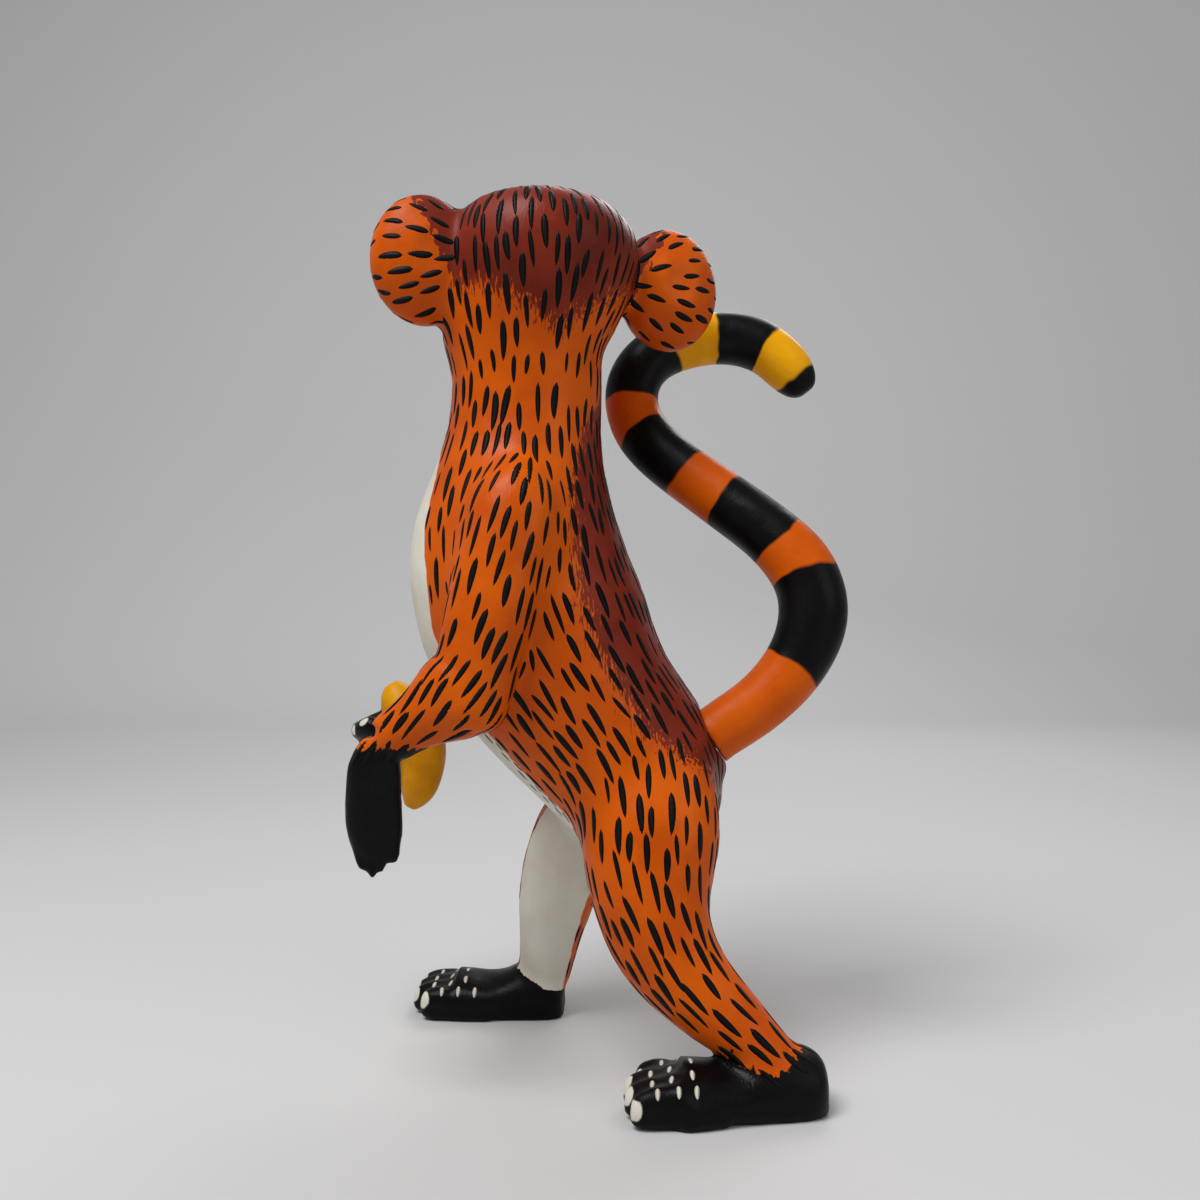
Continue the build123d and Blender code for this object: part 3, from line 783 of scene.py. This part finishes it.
def spaced(open_points, step, row_gap, seed):
    """Picks points of the skin that keep a step along the fur and a row gap across it."""
    order = np.random.default_rng(seed).permutation(np.flatnonzero(open_points))
    places = np.zeros((len(order), 3))
    chosen = []
    for index in order:
        count = len(chosen)
        offset = places[:count] - points[index]
        near = np.abs(offset).max(axis=1) < step if count else np.zeros(0, bool)
        if near.any():
            offset = offset[near]
            along = offset @ ways[index]
            across = np.sum(offset * offset, axis=1) - along * along
            if (along * along / step**2 + across / row_gap**2 < 1).any():
                continue
        places[count] = points[index]
        chosen.append(index)
    return np.array(chosen, int)


def lay_strokes(name, places, stroke_ways, facing, lengths, widths, paint="black", body="figure"):
    """A painted layer of strokes on the skin that rides with a body."""
    mesh = bpy.data.meshes.new(name + "_points")
    mesh.from_pydata([tuple(point) for point in places], [], [])
    for label, values in (("stroke_way", stroke_ways), ("outward", facing), ("stroke_length", lengths),
                          ("stroke_width", widths)):
        write_mark(mesh, label, values)
    dots = placed(name + "_points", mesh)
    layer = dots.modifiers.new("paint_strokes", "NODES")
    layer.node_group = strokes
    inputs = {item.name: item.identifier for item in strokes.interface.items_tree if item.in_out == "INPUT"}
    for label, value in (("Skin", skin), ("Paint lift", paint_lift), ("Paint sink", -0.92 * paint_lift),
                         ("Seed", stroke_seed), ("Paint", paints[paint])):
        layer[inputs[label]] = value
    view = bpy.context.evaluated_depsgraph_get()
    painted = bpy.data.meshes.new_from_object(dots.evaluated_get(view), preserve_all_data_layers=False,
                                              depsgraph=view)
    bpy.data.objects.remove(dots)
    return new_piece(name, painted, paints[paint], body, "fur_paint")


def new_piece(name, mesh, paint, body, slot, *replaced):
    """An object for a mesh, in its paint, that rides with a body and may stand for CAD pieces."""
    piece = placed(name, mesh)
    if not mesh.materials:
        mesh.materials.append(paint)
    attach(piece, body)
    if replaced:
        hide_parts(*replaced)
    return piece


# The painted skin
body_members = tuple(limb_lines)
skin_members = body_members + tuple(ears)
hidden_dowels = ("neck_dowel", "left_shoulder_dowel", "right_shoulder_dowel", "left_hip_dowel",
                 "right_hip_dowel", "left_ear_peg", "right_ear_peg")
skin_mesh = carved("skin", skin_members + hidden_dowels, skin_grain)
joined = Neighbours(skin_mesh)
points = joined.sand(read_points(skin_mesh), carving_passes)

gaps = np.stack([distance_to(tree_of(name), points) for name in skin_members])
second = np.sort(gaps[:len(body_members)], axis=0)[1]
ear_seam = np.maximum(gaps[skin_members.index("head")], gaps[len(body_members):].min(axis=0))
fine_work = joined.smooth(((points[:, 2] < foot_height) | (points[:, 1] < hands_front)).astype(float), 10)
upper = np.clip((points[:, 2] - shoulder_height) / shoulder_fade, 0, 1)
lower = np.clip((hip_height - points[:, 2]) / hip_fade, 0, 1)
lower *= np.clip((points[:, 1] - hip_front) / hip_fade, 0, 1)
rounded = np.exp(-(second / blend_reach) ** 2) * np.maximum(upper, lower)
rounded = joined.smooth(rounded, 20) * (1 - fine_work)
creased = np.maximum(np.exp(-(second / crease_reach) ** 2), np.exp(-(ear_seam / crease_reach) ** 2))
creased = joined.smooth(creased, 6) * (1 - fine_work)
points = joined.smooth(points, crease_passes, 0.5, creased)
for _ in range(blend_rounds):
    write_points(skin_mesh, points)
    points = joined.fill(points, read_normals(skin_mesh), blend_passes, rounded)

# Toes are raised, the instep is filled and the left hand is narrowed
for ankle, way, length, heel_share, _ in feet.values():
    ahead = (points - ankle) @ way + heel_share * length
    beside = np.abs((points - ankle) @ np.cross(way, up_way))
    on_toes = (points[:, 2] < toe_top) & (beside < 0.6 * foot_width) & (ahead > 0) & (ahead < 1.2 * length)
    points[on_toes, 2] *= from_table(toe_rise, ahead[on_toes] / length)
foot_top = joined.smooth(((points[:, 2] < instep_height) & (points[:, 2] > sole_height)).astype(float), 4)
for _ in range(instep_rounds):
    write_points(skin_mesh, points)
    points = joined.fill(points, read_normals(skin_mesh), instep_passes, foot_top)
points = joined.sand(points, 6)
hand = (points[:, 2] < left_wrist) & (points[:, 2] > left_fingertips)
hand &= (points[:, 0] > left_hand_side) & (points[:, 1] < hand_back)
points[hand, 1] = hand_back + (points[hand][:, 1] - hand_back) * from_table(hand_rounding, points[hand][:, 2])
points[hand] = joined.smooth(points, 10)[hand]
write_points(skin_mesh, points)
normals = read_normals(skin_mesh)

# The rump swells a little to a round seat under the tail
tail_way = unit(tail_line[1] - tail_line[0])
tail_ring = read_points(nodes["tail"].data) - tail_line[0]
seat_depth = (tail_ring @ tail_way).min()
tail_end = tail_ring[tail_ring @ tail_way < seat_depth + tail_end_depth]
seat_reach = np.linalg.norm(np.cross(tail_end, tail_way), axis=1).max()
offset = points - tail_line[0]
seat_gap = seat_depth - seat_clearance - offset @ tail_way
from_axis = np.linalg.norm(np.cross(offset, tail_way), axis=1)
swell = np.clip((seat_reach + seat_swell - from_axis) / seat_swell, 0, 1)
swell *= (seat_gap > 0) & (seat_gap < deepest_seat) & (normals @ tail_way > 0.1)
swell = joined.smooth(swell, 3)
points += (np.clip(seat_gap, 0, deepest_seat) * swell)[:, None] * tail_way
write_points(skin_mesh, points)
normals = read_normals(skin_mesh)

# The slight waves that the knife left
waves = np.array([noise.noise(Vector(point / knife_wave_length)) for point in points])
points = points + normals * (waves * knife_wave)[:, None]
points[:, 2] = np.maximum(points[:, 2], 0)
write_points(skin_mesh, points)
normals = read_normals(skin_mesh)

# Whose skin each point is, the way its fur lies, and how far inside each painted zone it lies
far_outside = -0.02
owner = np.argmin(gaps, axis=0)


def owned(name):
    return owner == skin_members.index(name)


ways = np.zeros_like(points)
for name in body_members:
    ways[owned(name)] = way_along(limb_lines[name], points[owned(name)])
on_head = owned("head")
ways[on_head] = unit(-up_way - 0.12 * face_way)
ways = unit(joined.smooth(ways, 60))

# Ears: a pale hollow, and brown smeared over the back of the root
unhollowed = -0.004
hollow_mark = np.full(len(points), unhollowed)
root_mark = np.full(len(points), far_outside)
rim_share = np.zeros(len(points))
for name, (outward, smear) in ears.items():
    own = owned(name)
    low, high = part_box(name)
    offset = points - (np.array(low) + np.array(high)) / 2
    reach = offset @ outward
    beside = (gaps[skin_members.index(name)] < 0.006) & (normals @ face_way < 0.2)
    root_mark[beside] = (smear - (reach - reach[own].min()) + 0.5 * offset[:, 2])[beside]
    rim_share[own] = np.sqrt((reach[own] / ear_half_width) ** 2 + (offset[own][:, 2] / ear_half_height) ** 2)
    dished = np.sum(normals[own] * face_way, axis=1) > 0.15
    hollow_mark[own] = np.where(dished, (hollow_share - rim_share[own]) * 0.016, unhollowed)
    ways[own] = unit(offset[own] + outward * ear_ray_start)
hollow_mark = joined.smooth(hollow_mark, 4)
ways = unit(ways - normals * np.sum(ways * normals, axis=1)[:, None])

# Brown back and white belly: the white runs down the inner side of the legs
spine_share, spine_foot = along_line(spine_line, points)
angle, radius = girth_angle(spine_line, points, spine_share, spine_foot)
spine_mark = (np.radians(from_table(spine_border, spine_foot[:, 2])) - np.abs(angle)) * radius
belly_edge = np.radians(from_table(belly_border, spine_foot[:, 2]))
belly_mark = (belly_edge - (math.pi - np.abs(angle))) * radius
for side, inner, spread in (("left", -left_way, 52), ("right", level_way(77), 64)):
    own = owned(side + "_leg")
    belly_mark[own] = leg_white(limb_lines[side + "_leg"], points[own], inner, spread)
    spine_mark[own & (points[:, 2] < lowest_brown)] = far_outside
for name in ("left_arm", "right_arm", "head"):
    belly_mark[owned(name)] = far_outside
    spine_mark[owned(name)] = far_outside
belly_mark = joined.smooth(np.clip(belly_mark, far_outside, -far_outside), 30)
spine_mark = joined.smooth(np.clip(spine_mark, far_outside, -far_outside), 30)
cap = np.where(on_head | (owner >= len(body_members)), cap_mark(points), -0.03)

# Black hands and feet
mitt = np.full(len(points), -0.03)
own = owned("left_arm")
mitt[own] = wrist_height - points[own][:, 2]
own = owned("right_arm")
_, elbow, wrist, _ = limb_lines["right_arm"]
mitt[own] = (points[own] - wrist) @ unit(wrist - elbow) + 0.001
for side, steepness in (("left", 1), ("right", 3)):
    own = owned(side + "_leg")
    line = limb_lines[side + "_leg"]
    shin_way = unit(line[2] - line[1])
    offset = points[own] - line[2]
    outside = np.linalg.norm(offset - (offset @ shin_way)[:, None] * shin_way, axis=1) - ankle_radius
    outside[points[own][:, 2] > ankle_height] = -0.03
    below = from_table(ankle_borders[side], points[own][:, 1]) - points[own][:, 2]
    mitt[own] = np.maximum(below, outside) * steepness
mitt = joined.smooth(mitt, 6)

# Face
face_centre = skull + face_way * face_forward - up_way * face_drop
face_oval = oval_mark(points, face_centre, right_ear_way, face_half_width, face_half_height)
face_mark = np.where(on_head, face_oval, -0.03)
eye_mark = np.full(len(points), -0.01)
for side in (-1, 1):
    offset = points - (skull + face_way * eye_forward + right_ear_way * side * eye_spacing / 2)
    from_eye = np.sqrt((offset @ right_ear_way) ** 2 + offset[:, 2] ** 2)
    seen = (offset @ face_way > 0) & on_head
    eye_mark[seen] = np.maximum(eye_mark[seen], eye_reach - from_eye[seen])
offset = points - (skull + face_way * muzzle_forward - up_way * muzzle_drop)
across = offset @ right_ear_way
smile = np.abs(offset[:, 2] + mouth_drop - mouth_curl * (across / mouth_half_width) ** 2)
on_mouth = (np.abs(across) < mouth_half_width + 0.0005) & (offset @ face_way > 0.004) & on_head
mouth = np.where(on_mouth, mouth_line - smile, -0.01)

# Nails, each round the foremost point of its toe or finger. The outer toe's is turned to the side
nail = np.full(len(points), -0.01)


def painted_nail(nail, among, way, reach):
    """The nail mark with one more nail, round the foremost of the listed points."""
    centre = points[among[np.argmax(points[among] @ way)]]
    return np.maximum(nail, reach - np.linalg.norm(points - centre, axis=1))


toe_tips = []
for side, (ankle, way, length, heel_share, reaches) in feet.items():
    aside = np.cross(way, up_way)
    heel = ankle - way * heel_share * length
    own = np.flatnonzero(owned(side + "_leg") & (points[:, 2] < nail_height))
    for toe, reach in enumerate(reaches):
        tip = heel + way * toe_root * length * reach + aside * (toe - 1.5) * toe_spacing
        toe_tips.append((tip, way))
        nail_way = unit(way + 0.3 * up_way + left_way * (0.85 if toe == 0 else 0.15))
        on_toe = own[np.abs((points[own] - tip) @ aside) < 0.4 * toe_width]
        nail = painted_nail(nail, on_toe, nail_way, nail_reach)
for low, high, tip_way in right_fingertips:
    level = owned("right_arm") & (points[:, 1] < right_hand_front)
    level &= (points[:, 2] > low) & (points[:, 2] < high)
    nail = painted_nail(nail, np.flatnonzero(level), np.array(tip_way), fingernail_reach)

for label, values in (("cap", cap), ("spine", spine_mark), ("belly", belly_mark), ("mitt", mitt),
                      ("face", face_mark), ("eye", eye_mark), ("mouth", mouth), ("hollow", hollow_mark),
                      ("root", root_mark), ("nail", nail), ("shading", normals)):
    write_mark(skin_mesh, label, values)

paints = {
    "fur": fur_paint(),
    "ear": ear_paint(),
    "black": plain_paint("stroke_black", ink, soft_ink, 0.42, 0.56),
    "white": plain_paint("nail_white", white, warm_white),
    "banana": plain_paint("banana_paint", banana_yellow, banana_ochre),
    "wood": bare_wood(),
}

skin = placed("skin", skin_mesh)
stroke_kinds = [unit_stroke("stroke_straight", 0.0, 0.84), unit_stroke("stroke_left", 0.10, 0.78),
                unit_stroke("stroke_right", -0.10, 0.78)]
strokes = stroke_tree(stroke_kinds)


def split_skin(mesh, fields):
    """Each face's owner, from fields that are highest on their own piece, without stray teeth."""
    faces = np.zeros(len(mesh.polygons) * 4, np.int32)
    mesh.polygons.foreach_get("vertices", faces)
    faces = faces.reshape(-1, 4)
    totals = np.stack([field[faces].mean(axis=1) for field in fields])
    owners = np.argmax(totals, axis=0)
    keys = np.sort(np.stack([faces, np.roll(faces, -1, axis=1)], axis=2), axis=2).reshape(-1, 2)
    _, inverse = np.unique(keys[:, 0].astype(np.int64) * len(mesh.vertices) + keys[:, 1], return_inverse=True)
    order = np.argsort(inverse, kind="stable")
    pairs = order.reshape(-1, 2) // 4
    for _ in range(6):
        same = owners[pairs[:, 0]] == owners[pairs[:, 1]]
        alike = np.bincount(pairs[:, 0], same, len(faces)) + np.bincount(pairs[:, 1], same, len(faces))
        for face in np.flatnonzero(alike < 2):
            around = np.concatenate([pairs[pairs[:, 0] == face][:, 1], pairs[pairs[:, 1] == face][:, 0]])
            owners[face] = np.bincount(owners[around]).argmax()
    return owners


def piece_of_skin(index, name, owners):
    """One owner's faces as a closed mesh that keeps the whole skin's shading."""
    form = bmesh.new()
    form.from_mesh(skin_mesh)
    form.faces.ensure_lookup_table()
    others = [form.faces[face] for face in np.flatnonzero(owners != index)]
    bmesh.ops.delete(form, geom=others, context="FACES")
    rim = [edge for edge in form.edges if len(edge.link_faces) == 1]
    filled = bmesh.ops.holes_fill(form, edges=rim, sides=0)["faces"]
    bmesh.ops.poke(form, faces=filled)
    mesh = mesh_of(form, name + "_skin")
    shade_smooth(mesh)
    shading = read_vectors(mesh.attributes["shading"].data, "vector")
    shading[np.linalg.norm(shading, axis=1) < 0.5] = (0, 0, 1)
    mesh.normals_split_custom_set_from_vertices(shading.tolist())
    mesh.attributes.remove(mesh.attributes["shading"])
    return mesh


fields = [joined.smooth(0.05 - gap, 8) for gap in gaps]
owners = split_skin(skin_mesh, fields)
for index, name in enumerate(skin_members):
    mesh = piece_of_skin(index, name, owners)
    paint, body = ("ear", name + "_plug") if name in ears else ("fur", "figure")
    new_piece(name + "_skin", mesh, paints[paint], body, "fur_paint", name)

# Fur strokes on the body
rng = np.random.default_rng(fur_seed)
clear_of = np.full(len(points), 0.05)
for name in ("left_ear", "right_ear", "tail", "banana"):
    clear_of = np.minimum(clear_of, distance_to(tree_of(name), points, 0.01))
inside_head = on_head & (np.sum(normals * (points - skull), axis=1) < 0)
bend = np.sum((joined.mean(points) - points) * normals, axis=1)
furry = (clear_of > piece_margin) & ~inside_head & (owner < len(body_members))
furry &= joined.smooth(bend, 8) < deepest_bend
furry &= (belly_mark < -belly_margin) & (face_mark < -face_margin) & (mitt < mitt_overlap)
furry &= points[:, 2] > lowest_fur
picked = spaced(furry, stroke_step, stroke_row_gap, fur_seed)
lengths = stroke_length * rng.uniform(0.72, 1.12, len(picked))
widths = stroke_width * rng.uniform(0.72, 1.25, len(picked))
fringe = (belly_mark[picked] > -belly_fringe) | (second[picked] < crease_fringe)
lengths[fringe] *= 0.7
widths[fringe] *= 0.72
tilt = rng.normal(0, 0.055, len(picked))[:, None]
stroke_ways = unit(ways[picked] + np.cross(normals[picked], ways[picked]) * tilt)
lay_strokes("fur_strokes", points[picked], stroke_ways, normals[picked], lengths, widths)

# Small strokes on the white beside its border
pale = (belly_mark > nearest_belly_stroke) & (belly_mark < farthest_belly_stroke) & owned("torso")
pale &= (points[:, 2] < highest_belly_stroke) & (points[:, 2] > lowest_belly_stroke)
small = spaced(pale, 1.3 * belly_stroke_length, belly_stroke_row_gap, fur_seed)
sizes = rng.uniform(0.8, 1.25, len(small))
lay_strokes("belly_strokes", points[small], ways[small], normals[small], belly_stroke_length * sizes,
            belly_stroke_width * sizes)


# Dots on the toes, and nostrils
def spot(name, targets, stroke_ways, length, paint):
    """Dots of one size at the places on the skin that are nearest to the targets."""
    found = [skin_tree.find_nearest(Vector(target)) for target in targets]
    lay_strokes(name, np.array([hit[0] for hit in found]), stroke_ways, np.array([hit[1] for hit in found]),
                [length] * len(found), [dot_width] * len(found), paint)


skin_tree = BVHTree.FromPolygons([Vector(point) for point in points],
                                 [tuple(polygon.vertices) for polygon in skin_mesh.polygons])
dots = [tip - way * (toe_dot_back + toe_dot_gap * row) + up_way * toe_dot_rise + left_way * toe_dot_aside
        for tip, way in toe_tips for row in range(toe_dots)]
spot("toe_dots", dots, np.tile(unit(left_way - 0.6 * up_way), (len(dots), 1)), toe_dot_length, "white")
nose = skull + face_way * nose_forward - up_way * nose_drop
spot("nostrils", [nose + right_ear_way * side * nostril_aside for side in (-1, 1)],
     np.array([right_ear_way * 0.5 + up_way, right_ear_way * -0.5 + up_way]), nostril_length, "black")

# Fur strokes on the ears, which lie like rays from the root
for name in ears:
    outside = owned(name) & (hollow_mark < -0.0012) & (ear_seam > 0.0022)
    picked = spaced(outside, ear_stroke_step, ear_stroke_row_gap, fur_seed + 1)
    sizes = rng.uniform(0.8, 1.2, len(picked))
    sizes[rim_share[picked] > ear_fringe_share] *= 0.8
    lay_strokes(name + "_strokes", points[picked], ways[picked], normals[picked], ear_stroke_length * sizes,
                ear_stroke_width * sizes, body=name + "_plug")


# Tail and banana
def smooth_skin(name, members, grain, passes):
    """A separate carved piece, with its averages and its points."""
    mesh = carved(name, members, grain)
    near = Neighbours(mesh)
    smoothed = near.sand(read_points(mesh), passes)
    write_points(mesh, smoothed)
    shade_smooth(mesh)
    return mesh, near, smoothed


tail_run = np.concatenate([[0], np.cumsum(np.linalg.norm(np.diff(tail_line, axis=0), axis=1))])
mesh, near, tail_points = smooth_skin("tail_skin", ("tail",), skin_grain, carving_passes)
tail_share, _ = along_line(tail_line, tail_points)
run = np.interp(tail_share, np.arange(len(tail_run)), tail_run)
write_mark(mesh, "along", near.smooth(run, 20))
tail_bands = [(0.0, "orange"), (0.0377, "black"), (0.0724, "orange"), (0.0864, "black"), (0.1116, "orange"),
              (0.1286, "black"), (0.1530, "orange"), (0.1668, "black"), (0.1960, "yellow"), (0.2150, "black"),
              (0.2340, "yellow"), (0.2505, "black")]
new_piece("tail_skin", mesh, tail_paint(tail_bands), "tail_piece", "tail_paint", "tail")
mesh = smooth_skin("banana_skin", ("banana", "banana_pin"), banana_grain, banana_passes)[0]
new_piece("banana_skin", mesh, paints["banana"], "figure", "banana_paint", "banana")

# Bare wood
for name in hidden_dowels + ("tail_dowel", "banana_pin"):
    node_mesh = nodes[name].data
    node_mesh.materials.clear()
    node_mesh.materials.append(paints["wood"])

for helper in (skin, *stroke_kinds):
    bpy.data.objects.remove(helper)


# Floor, backdrop, light and camera
def stage_finish():
    """A pale matt sweep whose wall is painted lighter than its floor, painted light that makes up for the
    shade on the wall, so that it looks the same grey to the camera and takes the figure's shadow.
    """
    matt = Finish("pale_sweep")
    across = matt.node("ShaderNodeSeparateXYZ", {0: matt.place})
    # Painted light: the wall gets a lighter grey than the floor, to make up for the shade that falls on it
    # from the lamps above
    painted_wall_light = matt.ramp(across.outputs["X"], -1.5, -0.5, 1.0, 0.0)
    tint = matt.mix(painted_wall_light, colour(202, 202, 202), colour(233, 233, 233))
    matt.fill(matt.shader, {"Base Color": tint, "Roughness": 0.9})
    return matt.material


sweep_front = 1.2
sweep_width = 3.0
sweep_depth = 1.1
sweep_round = 0.45
sweep_height = 1.8
profile = [(sweep_front, 0.0), (-sweep_depth, 0.0)]
for step in range(1, 13):
    turn = math.radians(7.5 * step)
    profile.append((-sweep_depth - sweep_round * math.sin(turn), sweep_round * (1 - math.cos(turn))))
profile.append((-sweep_depth - sweep_round, sweep_height))
form = bmesh.new()
rows = [[form.verts.new((out, side * sweep_width / 2, rise)) for side in (-1, 1)] for out, rise in profile]
for first, second_row in zip(rows, rows[1:]):
    form.faces.new((first[0], second_row[0], second_row[1], first[1]))
bmesh.ops.recalc_face_normals(form, faces=form.faces)
mesh = mesh_of(form, "sweep")
shade_smooth(mesh)
mesh.materials.append(stage_finish())
sweep = placed("sweep", mesh)


def soft_light(name, place_at, size, power):
    """A large soft lamp, turned to the figure."""
    lamp = bpy.data.lights.new(name, "AREA")
    lamp.shape = "DISK"
    lamp.size = size
    lamp.energy = power
    holder = placed(name, lamp)
    holder.location = place_at
    holder.rotation_euler = (Vector(figure_middle) - Vector(place_at)).to_track_quat("-Z", "Y").to_euler()


figure_middle = (0.0, 0.0, 0.17)
soft_light("key_light", (0.45, -0.42, 1.18), 0.7, 12.5)
soft_light("fill_light", (0.7, 0.9, 0.6), 0.9, 2.0)
soft_light("back_light", (-0.8, 0.3, 0.9), 0.7, 3.5)

world = bpy.data.worlds.new("studio")
world.use_nodes = True
Wiring(world.node_tree).fill(world.node_tree.nodes["Background"],
                             {"Color": (0.80, 0.80, 0.81, 1), "Strength": 0.36})
bpy.context.scene.world = world
bpy.context.scene.view_settings.view_transform = "Standard"

camera_reach = 0.402
camera_height = 0.158
camera = bpy.data.cameras.new("camera")
camera.sensor_width = 36
camera.lens = 36 * 1165 / 1200
camera.clip_start = 0.01
watcher = placed("camera", camera)
watcher.location = (torso_aside + camera_reach, torso_forward, camera_height)
watcher.rotation_euler = (math.radians(90), 0, math.radians(90))
bpy.context.scene.camera = watcher
